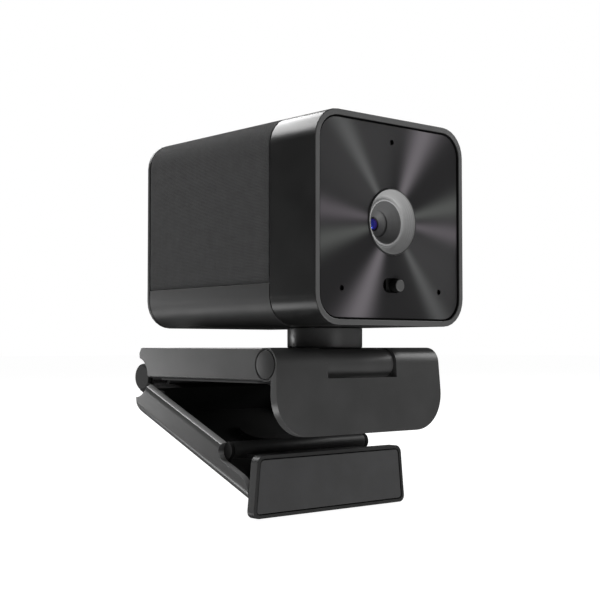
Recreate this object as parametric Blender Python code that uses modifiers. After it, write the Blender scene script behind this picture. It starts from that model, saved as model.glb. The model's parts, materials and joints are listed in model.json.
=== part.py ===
"""Box-shaped webcam on a folding screen clip.

Frame: +Z up, the lens faces -Y, +X is to the right seen from the front.
The origin is on the pan axis, in the plane of the rubber pad that rests on the screen's top edge.
Lengths below are millimetres; MM turns them into Blender's metres.
"""

import math

import bmesh
import bpy
from mathutils import Matrix, Vector

MM = 0.001
GAP = 0.3  # running gap between pieces that move past each other
SEAM = 0.15  # seating gap between fixed neighbours

# Head: a box with rounded long edges, turning on the neck
HEAD_WIDTH = 60.0
HEAD_HEIGHT = 59.7
HEAD_LENGTH = 81.2
HEAD_RADIUS = 8.55
HEAD_FRONT = -29.3
HEAD_BOTTOM = 16.4
HEAD_TOP = HEAD_BOTTOM + HEAD_HEIGHT
HEAD_BACK = HEAD_FRONT + HEAD_LENGTH
LENS_Z = HEAD_BOTTOM + HEAD_HEIGHT / 2
HOOD_LENGTH = 19.4
RIM_WIDTH = 1.7
PANEL_RECESS = 0.6
PANEL_THICKNESS = 1.0
PANEL_MARGIN = 0.5
FABRIC_BOTTOM = 28.5
FABRIC_THICKNESS = 0.8
SHELL_WALL = 2.2
INNER_WALL = 1.5
REAR_COVER_THICKNESS = 1.5

# Lens opening: a funnel, a dish inside it, and the lens at the bottom of the dish
FUNNEL_RADIUS = 9.66
FUNNEL_LIP = 0.15
FUNNEL_FLOOR = 3.6
STEP_RADIUS = 7.87
DISH_RADIUS = 6.08
DISH_OUTER = 6.5
DISH_FRONT = 3.0
BARREL_RADIUS = 5.0
LENS_RADIUS = 2.0

# Privacy shutter: a knob that slides in a slot and swings a blade over the lens
KNOB_RADIUS = 1.78
KNOB_PROUD = 1.8
KNOB_X = 1.6
KNOB_Z = 27.95
SLIDE_TRAVEL = 3.2
SLOT_HALF_HEIGHT = 2.1
LEVER = 6.0
PIVOT_X = KNOB_X - SLIDE_TRAVEL / 2
PIVOT_Z = KNOB_Z - LEVER
BLADE_LENGTH = LENS_Z - PIVOT_Z
SWING = SLIDE_TRAVEL / LEVER
LEVER_ANGLE = math.atan2(KNOB_X - PIVOT_X, LEVER)
BLADE_ANGLE = SWING + math.atan2(-PIVOT_X, BLADE_LENGTH)

# Clip: upper arm on top of the screen, lip in front of it, lower arm and foot behind it
ARM_HALF = 30.2
ARM_WALL = 2.1
ARM_TOP = 10.2
ARM_BOTTOM = 0.8
ARM_BACK = 56.2
NECK_RADIUS = 11.4
FRONT_HINGE = Vector((0.0, -11.5, 5.45))
REAR_HINGE = Vector((0.0, 57.7, 0.6))
LIP_HALF = 32.9
LIP_FLARE = 0.05  # the lip's sides spread by this much for each mm below the hinge
LIP_KNUCKLE = 4.75
LIP_REACH = 5.1  # from the hinge to the lip's front face
LIP_BOTTOM = -15.1
LIP_THICKNESS = 2.65
LIP_CORNER = 12.0
LIP_LEAN = math.radians(-3.0)
CUTOUT_HALF = 14.0
CENTRE_KNUCKLE = 4.3
REAR_KNUCKLE = 4.4
REAR_NOTCH = 6.4
KNUCKLE_HALF = 19.9
PIN_RADIUS = 1.5
RUNNING = 0.08  # radial clearance of a shaft in its bore
PIN_BORE = PIN_RADIUS + RUNNING
FOOT_PIN = 1.1

# Lower arm, in its own frame: along the arm from the rear hinge, and up from it
ARM_ANGLE = math.radians(22.2)
LOWER_LENGTH = 66.6
LOWER_DEPTH = 10.4
LOWER_RIM = 0.2
LOWER_FILLET = 3.4
FOOT_ALONG = 49.9
FOOT_UP = -2.05
NOTCH_ALONG = 51.7
NOTCH_UP = -1.48
FOOT_NOTCH = 3.1
FOOT_BARREL = 2.55
STEP_UP = -4.6
STEP_END = 60.4
EAR_INNER = 26.3
EAR_OUTER = 28.05
LUG_INNER = 26.9
INSERT_ALONG = 30.0
FOOT_HINGE = REAR_HINGE + Matrix.Rotation(ARM_ANGLE, 3, "X") @ Vector((0.0, -FOOT_ALONG, FOOT_UP))

# Foot, in its own frame at its hinge: the plate hangs in front of the barrel
FOOT_HALF = 29.05
FOOT_FLARE = 0.1
FOOT_FACE = -16.02
FOOT_TOP = -0.45
FOOT_HEIGHT = 17.9
FOOT_THICKNESS = 3.0
FOOT_CORNER = 2.2
PAD_BORDER = 1.0


def depth(from_rim):
    """The Y of a place this far behind the head's front rim."""
    return HEAD_FRONT + from_rim


# ---------------------------------------------------------------- scene and materials


def clear_scene():
    for obj in list(bpy.data.objects):
        bpy.data.objects.remove(obj, do_unlink=True)


def new_collection(name):
    made = bpy.data.collections.new(name)
    bpy.context.scene.collection.children.link(made)
    return made


def principled(name, colour, roughness, metallic=0.0, alpha=1.0):
    made = bpy.data.materials.new(name)
    made.use_nodes = True
    shader = made.node_tree.nodes["Principled BSDF"]
    shader.inputs["Base Color"].default_value = (*colour, 1.0)
    shader.inputs["Roughness"].default_value = roughness
    shader.inputs["Metallic"].default_value = metallic
    shader.inputs["Alpha"].default_value = alpha
    made.diffuse_color = (*colour, alpha)
    return made


clear_scene()
PARTS = new_collection("webcam_on_clip")
CUTTERS = new_collection("cutters")

SATIN = principled("satin_plastic", (0.035, 0.035, 0.036), 0.42)
CLIP = principled("clip_plastic", (0.055, 0.055, 0.056), 0.5)
CLOTH = principled("woven_fabric", (0.03, 0.03, 0.032), 0.95)
SPUN = principled("spun_aluminium", (0.05, 0.05, 0.055), 0.32, 1.0)
BEZEL = principled("bezel_aluminium", (0.45, 0.45, 0.46), 0.4, 1.0)
BLACK = principled("black_plastic", (0.01, 0.01, 0.01), 0.6)
GLASS = principled("coated_glass", (0.05, 0.06, 0.16), 0.05, 0.0, 0.4)
RUBBER = principled("rubber", (0.025, 0.025, 0.027), 0.8)
STEEL = principled("steel", (0.55, 0.55, 0.56), 0.3, 1.0)
BOARD = principled("circuit_board", (0.01, 0.08, 0.03), 0.5)
ALUMINIUM = principled("aluminium", (0.7, 0.7, 0.72), 0.4, 1.0)
BRASS = principled("brass", (0.7, 0.5, 0.2), 0.35, 1.0)


# ---------------------------------------------------------------- outlines, as lists of (a, b) points


def arc(centre, radius, start, end, steps):
    """Points on an arc, angles in degrees, counter-clockwise when end is larger."""
    points = []
    for i in range(steps + 1):
        angle = math.radians(start + (end - start) * i / steps)
        points.append((centre[0] + radius * math.cos(angle), centre[1] + radius * math.sin(angle)))
    return points


def circle(centre, radius, steps):
    return arc(centre, radius, 0, 360, steps)[:-1]


def rounded_box(left, right, low, high, radius, steps=6):
    points = []
    corners = ((right, high, 0), (left, high, 90), (left, low, 180), (right, low, 270))
    for x, z, start in corners:
        inset_x = -radius if x == right else radius
        inset_z = -radius if z == high else radius
        points += arc((x + inset_x, z + inset_z), radius, start, start + 90, steps)
    return points


def head_outline(inset, steps=7):
    half = HEAD_WIDTH / 2 - inset
    return rounded_box(
        -half, half, HEAD_BOTTOM + inset, HEAD_TOP - inset, HEAD_RADIUS - inset, steps
    )


def slot_outline(left, right, z, half_height, steps=6):
    return arc((right, z), half_height, -90, 90, steps) + arc((left, z), half_height, 90, 270, steps)


def channel(half, low, high, radius, wall, steps=7):
    """A U section open at the top, with rounded lower corners."""
    outer = [(half, high)]
    outer += arc((half - radius, low + radius), radius, 0, -90, steps)
    outer += arc((radius - half, low + radius), radius, -90, -180, steps)
    outer += [(-half, high)]
    inner = [(wall - half, high)]
    inner += arc((radius - half, low + radius), radius - wall, -180, -90, steps)
    inner += arc((half - radius, low + radius), radius - wall, -90, 0, steps)
    inner += [(half - wall, high)]
    return outer + inner


def flipped(outline, middle):
    return [(a, 2 * middle - b) for a, b in outline]


def flared(outline, slope, level):
    """The outline with its two sides spread apart, the more the further below the level."""
    return [(a + math.copysign(slope * (level - b), a), b) for a, b in outline]


def hexagon(centre, across_flats):
    return circle(centre, across_flats / math.sqrt(3), 6)


# ---------------------------------------------------------------- solids


def finish_mesh(mesh):
    work = bmesh.new()
    work.from_mesh(mesh)
    bmesh.ops.remove_doubles(work, verts=work.verts, dist=1e-7)
    bmesh.ops.recalc_face_normals(work, faces=work.faces)
    work.to_mesh(mesh)
    work.free()


def place(name, mesh, material, collection=None):
    obj = bpy.data.objects.new(name, mesh)
    (collection or PARTS).objects.link(obj)
    if material:
        mesh.materials.clear()
        mesh.materials.append(material)
    mesh.shade_smooth()
    mesh.set_sharp_from_angle(angle=math.radians(32))
    return obj


# The turn that takes a curve's own X, Y and Z to the outline's two axes and its thickness
ALONG_Y = Matrix(((1, 0, 0), (0, 0, -1), (0, 1, 0)))  # outline in X and Z, thickness along -Y
ALONG_X = Matrix(((0, 0, 1), (1, 0, 0), (0, 1, 0)))  # outline in Y and Z, thickness along X
ALONG_Z = Matrix.Identity(3)  # outline in X and Y, thickness along Z


def sheet(name, outlines, turn, start, end, material=None, collection=None):
    """A flat outline, with holes where further outlines lie inside it, made from start to end."""
    curve = bpy.data.curves.new(name, "CURVE")
    curve.dimensions = "2D"
    curve.fill_mode = "BOTH"
    curve.extrude = abs(end - start) / 2 * MM
    for outline in outlines:
        spline = curve.splines.new("POLY")
        spline.points.add(len(outline) - 1)
        for point, (a, b) in zip(spline.points, outline):
            point.co = (a * MM, b * MM, 0.0, 1.0)
        spline.use_cyclic_u = True
    guide = bpy.data.objects.new(name + "_guide", curve)
    bpy.context.scene.collection.objects.link(guide)
    bpy.context.view_layer.update()
    mesh = bpy.data.meshes.new_from_object(guide.evaluated_get(bpy.context.evaluated_depsgraph_get()))
    bpy.data.objects.remove(guide, do_unlink=True)
    finish_mesh(mesh)
    middle = turn.col[2] * (start + end) / 2 * MM
    if turn is ALONG_Y:
        middle = -middle
    mesh.transform(Matrix.Translation(middle) @ turn.to_4x4())
    return place(name, mesh, material, collection)


def block(name, low, high, material=None, collection=None):
    work = bmesh.new()
    bmesh.ops.create_cube(work, size=1.0)
    size = [(b - a) * MM for a, b in zip(low, high)]
    centre = [(a + b) / 2 * MM for a, b in zip(low, high)]
    mesh = bpy.data.meshes.new(name)
    work.to_mesh(mesh)
    work.free()
    mesh.transform(Matrix.Translation(centre) @ Matrix.Diagonal((*size, 1.0)))
    return place(name, mesh, material, collection)


AXIS_TURN = {
    "X": Matrix.Rotation(math.pi / 2, 4, "Y"),
    "Y": Matrix.Rotation(-math.pi / 2, 4, "X"),
    "Z": Matrix.Identity(4),
}


def rod(name, axis, centre, radius, start, end, steps=24, material=None, collection=None):
    """A cylinder along an axis; centre gives its place on the other two."""
    work = bmesh.new()
    bmesh.ops.create_cone(
        work, cap_ends=True, segments=steps, radius1=radius * MM, radius2=radius * MM, depth=(end - start) * MM
    )
    mesh = bpy.data.meshes.new(name)
    work.to_mesh(mesh)
    work.free()
    middle = Vector(centre) * MM
    middle["XYZ".index(axis)] = (start + end) / 2 * MM
    mesh.transform(Matrix.Translation(middle) @ AXIS_TURN[axis])
    return place(name, mesh, material, collection)


def turned(name, profile, axis, centre, steps=40, material=None):
    """A profile of (radius, along) points, closed on itself, turned round an axis through centre."""
    mesh = bpy.data.meshes.new(name)
    points = [(radius * MM, 0.0, along * MM) for radius, along in profile]
    loop = [(i, (i + 1) % len(points)) for i in range(len(points))]
    if profile[0][0] == 0.0 and profile[-1][0] == 0.0:
        loop.pop()
    mesh.from_pydata(points, loop, [])
    obj = place(name, mesh, None)
    screw = obj.modifiers.new("turn", "SCREW")
    screw.axis = "Z"
    screw.steps = steps
    screw.render_steps = steps
    screw.use_merge_vertices = True
    screw.merge_threshold = 1e-6
    bake(obj)
    finish_mesh(obj.data)
    obj.data.transform(Matrix.Translation(Vector(centre) * MM) @ AXIS_TURN[axis])
    if material:
        obj.data.materials.clear()
        obj.data.materials.append(material)
    obj.data.shade_smooth()
    obj.data.set_sharp_from_angle(angle=math.radians(32))
    return obj


def bake(obj):
    """Gives an object the mesh that its modifiers make, and drops them."""
    bpy.context.view_layer.update()
    mesh = bpy.data.meshes.new_from_object(obj.evaluated_get(bpy.context.evaluated_depsgraph_get()))
    obj.modifiers.clear()
    obj.data = mesh


def combine(obj, other, operation):
    """A Boolean with a helper, which is then put out of the way with the other cutters."""
    modifier = obj.modifiers.new(operation.lower(), "BOOLEAN")
    modifier.operation = operation
    modifier.solver = "EXACT"
    modifier.object = other
    bake(obj)
    for holder in list(other.users_collection):
        holder.objects.unlink(other)
    CUTTERS.objects.link(other)
    other.hide_render = True
    other.display_type = "WIRE"
    other.hide_set(True)
    obj.data.shade_smooth()
    obj.data.set_sharp_from_angle(angle=math.radians(32))
    return obj


def cut(obj, *others):
    for other in others:
        combine(obj, other, "DIFFERENCE")
    return obj


def join(obj, *others):
    for other in others:
        combine(obj, other, "UNION")
    return obj


def chamfer(obj, width, angle=50.0, segments=1):
    modifier = obj.modifiers.new("edges", "BEVEL")
    modifier.width = width * MM
    modifier.segments = segments
    modifier.limit_method = "ANGLE"
    modifier.angle_limit = math.radians(angle)
    bake(obj)
    return obj


def axis_frame(name, origin, turn):
    """An empty on a joint's axis, which carries the pieces of one moving body."""
    frame = bpy.data.objects.new(name, None)
    frame.empty_display_size = 0.01
    PARTS.objects.link(frame)
    frame.matrix_world = Matrix.Translation(Vector(origin) * MM) @ turn.to_4x4()
    return frame


def carry(frame, *pieces):
    for piece in pieces:
        piece.parent = frame
        piece.matrix_parent_inverse = Matrix.Identity(4)


# ---------------------------------------------------------------- head

SCREW_PLACES = {
    "lower_left": (-25.0, HEAD_BOTTOM + 5.0),
    "lower_right": (25.0, HEAD_BOTTOM + 5.0),
    "upper_left": (-24.6, HEAD_TOP - 5.4),
    "upper_right": (24.6, HEAD_TOP - 5.4),
}
BOSS_RADIUS = 2.6
SHELL_FRONT = depth(HOOD_LENGTH + SEAM)
SHELL_BACK = HEAD_BACK - REAR_COVER_THICKNESS - SEAM
TONGUE = 4.5
POST_X = 26.2


def front_hood():
    hood = sheet(
        "front_hood",
        [head_outline(0), head_outline(RIM_WIDTH)],
        ALONG_Y,
        HEAD_FRONT,
        depth(HOOD_LENGTH),
        SATIN,
    )
    chamfer(hood, 0.25, angle=80)
    ledge_front = depth(PANEL_RECESS + PANEL_THICKNESS + SEAM)
    ledge = sheet("ledge", [head_outline(1.0), head_outline(3.4)], ALONG_Y, ledge_front, ledge_front + 1.6)
    join(hood, ledge)
    for side in (-1, 1):
        post = rod("post", "Y", (side * POST_X, 0, LENS_Z), 2.6, ledge_front + 0.8, depth(9.2), 16)
        bore = rod("post_bore", "Y", (side * POST_X, 0, LENS_Z), 1.2, depth(5.0), depth(10.0), 12)
        join(hood, post)
        cut(hood, bore)
    return hood


def screw_bosses(shell, corner):
    for name, (x, z) in SCREW_PLACES.items():
        if name.startswith(corner):
            boss = rod("boss", "Y", (x, 0, z), BOSS_RADIUS, SHELL_BACK - 18.0, SHELL_BACK - 0.4, 16)
            bore = rod("boss_bore", "Y", (x, 0, z), 1.2, SHELL_BACK - 10.0, SHELL_BACK + 1.0, 12)
            join(shell, boss)
            cut(shell, bore)


def lower_shell():
    """The smooth underside, with a tongue that reaches forward into the hood."""
    high = FABRIC_BOTTOM - SEAM
    outline = channel(HEAD_WIDTH / 2, HEAD_BOTTOM, high, HEAD_RADIUS, SHELL_WALL)
    shell = sheet("lower_shell", [outline], ALONG_Y, SHELL_FRONT, SHELL_BACK, SATIN)
    inset = RIM_WIDTH + SEAM
    tongue = channel(HEAD_WIDTH / 2 - inset, HEAD_BOTTOM + inset, high - 1, HEAD_RADIUS - inset, 1.2)
    join(shell, sheet("tongue", [tongue], ALONG_Y, SHELL_FRONT - TONGUE, SHELL_FRONT + 1))
    screw_bosses(shell, "lower")
    cut(shell, rod("stem_hole", "Z", (0, 0, 0), STEM_RADIUS + SEAM, HEAD_BOTTOM - 1, HEAD_BOTTOM + 3, 32))
    return shell


def upside_down_channel(inset, low, wall):
    """The same section turned over, inset from the head's outer surface."""
    middle = (HEAD_BOTTOM + HEAD_TOP) / 2
    outline = channel(
        HEAD_WIDTH / 2 - inset, HEAD_BOTTOM + inset, 2 * middle - low, HEAD_RADIUS - inset, wall
    )
    return flipped(outline, middle)


def fabric_cover():
    outline = upside_down_channel(0, FABRIC_BOTTOM, FABRIC_THICKNESS)
    return sheet("fabric_cover", [outline], ALONG_Y, SHELL_FRONT, SHELL_BACK, CLOTH)


def inner_shell():
    outline = upside_down_channel(FABRIC_THICKNESS + SEAM, FABRIC_BOTTOM, INNER_WALL)
    shell = sheet("inner_shell", [outline], ALONG_Y, SHELL_FRONT, SHELL_BACK, BLACK)
    tongue = upside_down_channel(RIM_WIDTH + SEAM, FABRIC_BOTTOM + 1, 1.2)
    join(shell, sheet("tongue", [tongue], ALONG_Y, SHELL_FRONT - TONGUE, SHELL_FRONT + 1))
    screw_bosses(shell, "upper")
    return shell


USB_Z = 30.0
USB_MOUTH = 4.7


def rear_cover():
    port = slot_outline(-2.8, 2.8, USB_Z, 3.7, 8)
    cover = sheet(
        "rear_cover", [head_outline(0), port], ALONG_Y, HEAD_BACK - REAR_COVER_THICKNESS, HEAD_BACK, SATIN
    )
    chamfer(cover, 0.4, angle=80)
    for x, z in SCREW_PLACES.values():
        hole = rod("hole", "Y", (x, 0, z), 1.2, HEAD_BACK - 3, HEAD_BACK + 1, 12)
        sink = rod("sink", "Y", (x, 0, z), 2.0, HEAD_BACK - 0.9, HEAD_BACK + 1, 16)
        cut(cover, hole, sink)
    return cover


def screw(name, axis, centre, tip, head_at, top, head_radius=1.7):
    """A small screw: shank from tip to head, and a cylindrical head from head_at to top."""
    low, high = sorted((tip, head_at + (top - head_at) * 0.5))
    made = rod(name, axis, centre, 0.9, low, high, 12, STEEL)
    low, high = sorted((head_at, top))
    return join(made, rod("screw_head", axis, centre, head_radius, low, high, 16))


def cover_screws():
    for name, (x, z) in SCREW_PLACES.items():
        made = screw("cover_screw_" + name, "Y", (x, 0, z), HEAD_BACK - 9, HEAD_BACK - 0.8, HEAD_BACK - 0.1)
        cut(made, block("drive", (x - 1.2, HEAD_BACK - 0.4, z - 0.25), (x + 1.2, HEAD_BACK + 1, z + 0.25)))


MICROPHONES = {"top": (0.0, 69.2), "left": (-19.75, 26.65), "right": (19.75, 26.65)}


def face_panel():
    front = depth(PANEL_RECESS)
    slot = slot_outline(KNOB_X - SLIDE_TRAVEL, KNOB_X, KNOB_Z, SLOT_HALF_HEIGHT, 8)
    lens = circle((0, LENS_Z), FUNNEL_RADIUS + 0.1, 48)
    holes = [circle(at, 0.8, 12) for at in MICROPHONES.values()]
    outlines = [head_outline(RIM_WIDTH + PANEL_MARGIN), lens, slot] + holes
    return sheet("face_panel", outlines, ALONG_Y, front, front + PANEL_THICKNESS, SPUN)


def microphones():
    back = depth(PANEL_RECESS + PANEL_THICKNESS + SEAM)
    for name, (x, z) in MICROPHONES.items():
        capsule = rod("microphone_" + name, "Y", (x, 0, z), 2.2, back, back + 2.0, 16, BLACK)
        cut(capsule, rod("port", "Y", (x, 0, z), 0.5, back - 1, back + 0.9, 8))


def lens_funnel():
    """A shallow bowl through the panel, with a flange behind it and a flat step at the bottom."""
    flange = PANEL_RECESS + PANEL_THICKNESS + SEAM
    bowl = [(9.3, FUNNEL_LIP), (9.1, 1.0), (8.8, 1.9), (8.4, 2.8), (STEP_RADIUS, FUNNEL_FLOOR)]
    profile = [(FUNNEL_RADIUS, FUNNEL_LIP + 0.2), (FUNNEL_RADIUS - 0.15, FUNNEL_LIP)] + bowl
    profile += [(DISH_OUTER + 0.1, FUNNEL_FLOOR), (DISH_OUTER + 0.1, 4.7), (FUNNEL_RADIUS, 4.7)]
    profile += [(FUNNEL_RADIUS, flange + 0.9), (11.2, flange + 0.9), (11.2, flange), (FUNNEL_RADIUS, flange)]
    return turned("lens_funnel", profile, "Y", (0, HEAD_FRONT, LENS_Z), 48, BEZEL)


def lens_cone():
    """The dark dish, open at the bottom for the lens."""
    bowl = [(DISH_RADIUS, DISH_FRONT), (5.5, 4.0), (4.5, 5.0), (2.9, 5.8), (2.9, 6.2)]
    profile = [(DISH_OUTER, DISH_FRONT)] + bowl + [(DISH_OUTER, 6.2)]
    return turned("lens_cone", profile, "Y", (0, HEAD_FRONT, LENS_Z), 40, BLACK)


def lens_barrel():
    profile = [
        (LENS_RADIUS + GAP, 7.3),
        (3.6, 7.3),
        (BARREL_RADIUS - 0.8, 8.2),
        (BARREL_RADIUS, 8.2),
        (BARREL_RADIUS, 16.0),
        (3.4, 16.0),
        (3.4, 10.4),
        (LENS_RADIUS + GAP, 10.4),
    ]
    return turned("lens_barrel", profile, "Y", (0, HEAD_FRONT, LENS_Z), 32, BLACK)


def front_lens():
    dome = [(0.0, 7.25)]
    dome += [(LENS_RADIUS * math.sin(a), 7.25 + 0.7 * (1 - math.cos(a))) for a in (0.4, 0.8, 1.2, math.pi / 2)]
    profile = dome + [(LENS_RADIUS, 9.8), (0.0, 9.8)]
    return turned("front_lens", profile, "Y", (0, HEAD_FRONT, LENS_Z), 24, GLASS)


def lens_holder():
    half = 8.0
    low = (-half, depth(12.0), LENS_Z - half)
    high = (half, depth(21.0), LENS_Z + half)
    holder = block("lens_holder", low, high, BLACK)
    bore = rod("bore", "Y", (0, 0, LENS_Z), BARREL_RADIUS + GAP, depth(11), depth(17), 32)
    window = block("window", (-5.5, depth(16.5), LENS_Z - 5.5), (5.5, depth(22), LENS_Z + 5.5))
    return cut(holder, bore, window)


def sensor_stack():
    block("ir_filter", (-4.5, depth(17.2), LENS_Z - 4.5), (4.5, depth(17.8), LENS_Z + 4.5), GLASS)
    block("image_sensor", (-4.8, depth(19.4), LENS_Z - 4.8), (4.8, depth(21.0), LENS_Z + 4.8), BLACK)
    low = (-18, depth(21.3), LENS_Z - 18)
    high = (18, depth(22.5), LENS_Z + 18)
    block("sensor_board", low, high, BOARD)


def inner_frame():
    """A plate behind the panel that carries the shutter's pivot; two screws hold it to the hood."""
    outline = rounded_box(-27.6, 27.6, LENS_Z - 25.6, LENS_Z + 22, 3.0, 4)
    lens = circle((0, LENS_Z), BARREL_RADIUS + 0.6, 32)
    holes = [circle((side * POST_X, LENS_Z), 1.2, 12) for side in (-1, 1)]
    pivot = circle((PIVOT_X, PIVOT_Z), 1.2, 12)
    frame = sheet("inner_frame", [outline, lens, pivot] + holes, ALONG_Y, depth(9.5), depth(11.0), BLACK)
    for side, name in ((-1, "left"), (1, "right")):
        screw = rod("frame_screw_" + name, "Y", (side * POST_X, 0, LENS_Z), 0.9, depth(6.0), depth(11.6), 12, STEEL)
        join(screw, rod("head", "Y", (side * POST_X, 0, LENS_Z), 1.7, depth(11.3), depth(12.4), 16))
    return frame


def shutter_knob():
    """Round knob, a wide flange behind the panel, and a thin pin that drives the blade."""
    at = (KNOB_X, 0, KNOB_Z)
    flange_front = depth(PANEL_RECESS + PANEL_THICKNESS + GAP)
    knob = rod("shutter_knob", "Y", at, KNOB_RADIUS, depth(PANEL_RECESS - KNOB_PROUD), flange_front + 0.5, 24, SATIN)
    chamfer(knob, 0.25, angle=60)
    low = (KNOB_X - 2.8, flange_front, KNOB_Z - 2.8)
    flange = block("flange", low, (KNOB_X + 2.8, flange_front + 0.8, KNOB_Z + 2.8))
    return join(knob, flange, rod("drive_pin", "Y", at, 0.6, flange_front + 0.3, depth(7.1), 10))


def shutter_blade():
    """Built upright about its pivot, then swung to where it rests beside the lens."""
    outline = arc((0, BLADE_LENGTH), 3.4, 0, 180, 12)
    outline += arc((0, 0), 3.4, 180, 360, 12)
    slot_at = Vector((-LEVER * math.sin(BLADE_ANGLE - LEVER_ANGLE), LEVER * math.cos(BLADE_ANGLE - LEVER_ANGLE)))
    reach = Matrix.Rotation(BLADE_ANGLE - LEVER_ANGLE, 2) @ Vector((0, 1))
    sideways = Vector((reach.y, -reach.x))
    drive = []
    for turn, end in ((1, slot_at + reach * 0.6), (-1, slot_at - reach * 0.6)):
        for x, y in arc((0, 0), 1.0, 0, 180, 6):
            drive.append(tuple(end + (sideways * x + reach * y) * turn))
    pivot = circle((0, 0), 1.2, 12)
    blade = sheet("shutter_blade", [outline, drive, pivot], ALONG_Y, 0, 0.4, BLACK)
    frame = axis_frame("blade_axis", (PIVOT_X, depth(6.5), PIVOT_Z), Matrix.Rotation(BLADE_ANGLE, 3, "Y"))
    carry(frame, blade)
    return blade


def shutter_pivot():
    at = (PIVOT_X, 0, PIVOT_Z)
    pin = rod("shutter_pivot", "Y", at, 0.9, depth(5.9), depth(10.8), 14, STEEL)
    return join(pin, rod("head", "Y", at, 1.8, depth(5.4), depth(6.2), 16))


def main_board():
    board = block("main_board", (-24, depth(40.0), LENS_Z - 22), (24, depth(41.4), LENS_Z + 22), BOARD)
    chip = block("chip", (-7, depth(38.6), LENS_Z - 7), (7, depth(40.5), LENS_Z + 7))
    return join(board, chip)


def heat_sink():
    sink = block("heat_sink", (-18, depth(41.7), LENS_Z - 16), (18, depth(43.7), LENS_Z + 16), ALUMINIUM)
    for i in range(7):
        x = -18 + i * 5.7
        fin = block("fin", (x, depth(43.0), LENS_Z - 16), (x + 1.6, depth(51.5), LENS_Z + 16))
        join(sink, fin)
    return sink


def ribbon_cable():
    """A flat cable between the two boards, in one gentle fold."""
    middle = []
    steps = 14
    for i in range(steps + 1):
        t = i / steps
        middle.append((depth(22.8 + 16.9 * t), LENS_Z - 13 - 4.0 * math.sin(math.pi * t)))
    outline = [(y, z + 0.15) for y, z in middle] + [(y, z - 0.15) for y, z in reversed(middle)]
    return sheet("ribbon_cable", [outline], ALONG_X, -5, 5, BOARD)


def usb_inlet():
    mouth = HEAD_BACK - USB_MOUTH
    board = block("usb_board", (-12, mouth - 18, USB_Z - 3.1), (12, mouth - 0.5, USB_Z - 1.9), BOARD)
    outer = slot_outline(-2.9, 2.9, USB_Z, 1.6)
    inner = slot_outline(-2.9, 2.9, USB_Z, 1.3)
    port = sheet("usb_port", [outer], ALONG_Y, mouth - 7.4, mouth, STEEL)
    cut(port, sheet("socket", [inner], ALONG_Y, mouth - 6, mouth + 1))
    join(port, block("tongue", (-3.3, mouth - 6.5, USB_Z - 0.35), (3.3, mouth - 1.0, USB_Z + 0.35)))
    return board, port


STEM_RADIUS = 4.0
THREAD_RADIUS = 2.0
CHANNEL_ROOF = ARM_TOP - 2.2


def pan_parts():
    """The stem hangs from the head through the neck; a nut holds it up against a washer."""
    profile = [
        (0.0, HEAD_BOTTOM + SHELL_WALL + 2.4),
        (8.0, HEAD_BOTTOM + SHELL_WALL + 2.4),
        (8.0, HEAD_BOTTOM + SHELL_WALL + SEAM),
        (STEM_RADIUS, HEAD_BOTTOM + SHELL_WALL + SEAM),
        (STEM_RADIUS, ARM_TOP + SEAM),
        (THREAD_RADIUS, ARM_TOP + SEAM),
        (THREAD_RADIUS, 3.4),
        (0.0, 3.4),
    ]
    turned("pan_stem", profile, "Z", (0, 0, 0), 32, SATIN)
    bore = circle((0, 0), THREAD_RADIUS + RUNNING, 24)
    sheet("pan_washer", [circle((0, 0), 4.15, 32), bore], ALONG_Z, 7.0, CHANNEL_ROOF - 0.1, STEEL)
    sheet("pan_nut", [hexagon((0, 0), 7.0), bore], ALONG_Z, 4.0, 6.8, STEEL)
    neck = [
        (STEM_RADIUS + RUNNING, ARM_TOP),
        (NECK_RADIUS, ARM_TOP),
        (NECK_RADIUS, HEAD_BOTTOM - GAP),
        (STEM_RADIUS + RUNNING, HEAD_BOTTOM - GAP),
    ]
    turned("swivel_neck", neck, "Z", (0, 0, 0), 48, CLIP)


# ---------------------------------------------------------------- clip: upper arm and lip


def at_front_hinge(radius, start, end, steps):
    return arc((FRONT_HINGE.y, FRONT_HINGE.z), radius, start, end, steps)


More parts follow.
